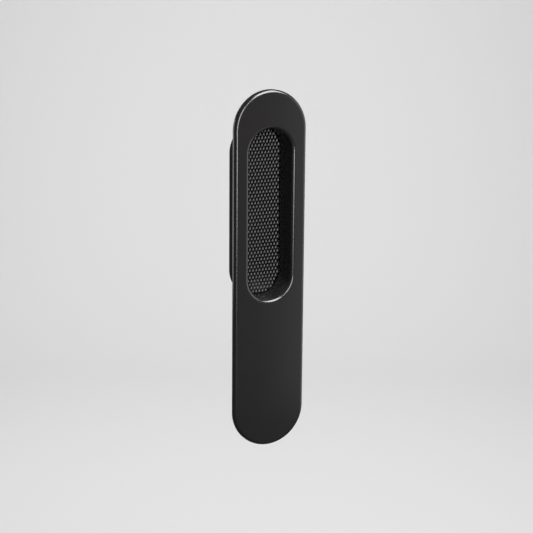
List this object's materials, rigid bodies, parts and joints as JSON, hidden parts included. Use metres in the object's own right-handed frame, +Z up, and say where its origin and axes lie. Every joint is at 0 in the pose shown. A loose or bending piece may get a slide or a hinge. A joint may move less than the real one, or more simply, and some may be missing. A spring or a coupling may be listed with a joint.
{
  "type": "finger cup pull",
  "caption": "Satin black flush finger pull: an upright round-ended plate with a deep slot-shaped finger recess in its upper half and a diamond-knurled floor, let into a sliding door.",
  "frame": {"origin": "midway between the two screw holes, on the back face of the cup", "axes": "+Z up along the plate, +Y from the front face into the door, +X to the right seen from the front"},
  "size_m": [0.043, 0.0196, 0.2],
  "materials": {
    "satin_black_coat": "satin black coat on a zinc die casting",
    "black_knurl": "satin black diamond knurl"
  },
  "bodies": {
    "root": {"pull_body": "satin_black_coat", "knurled_insert": "black_knurl"}
  },
  "joints": []
}
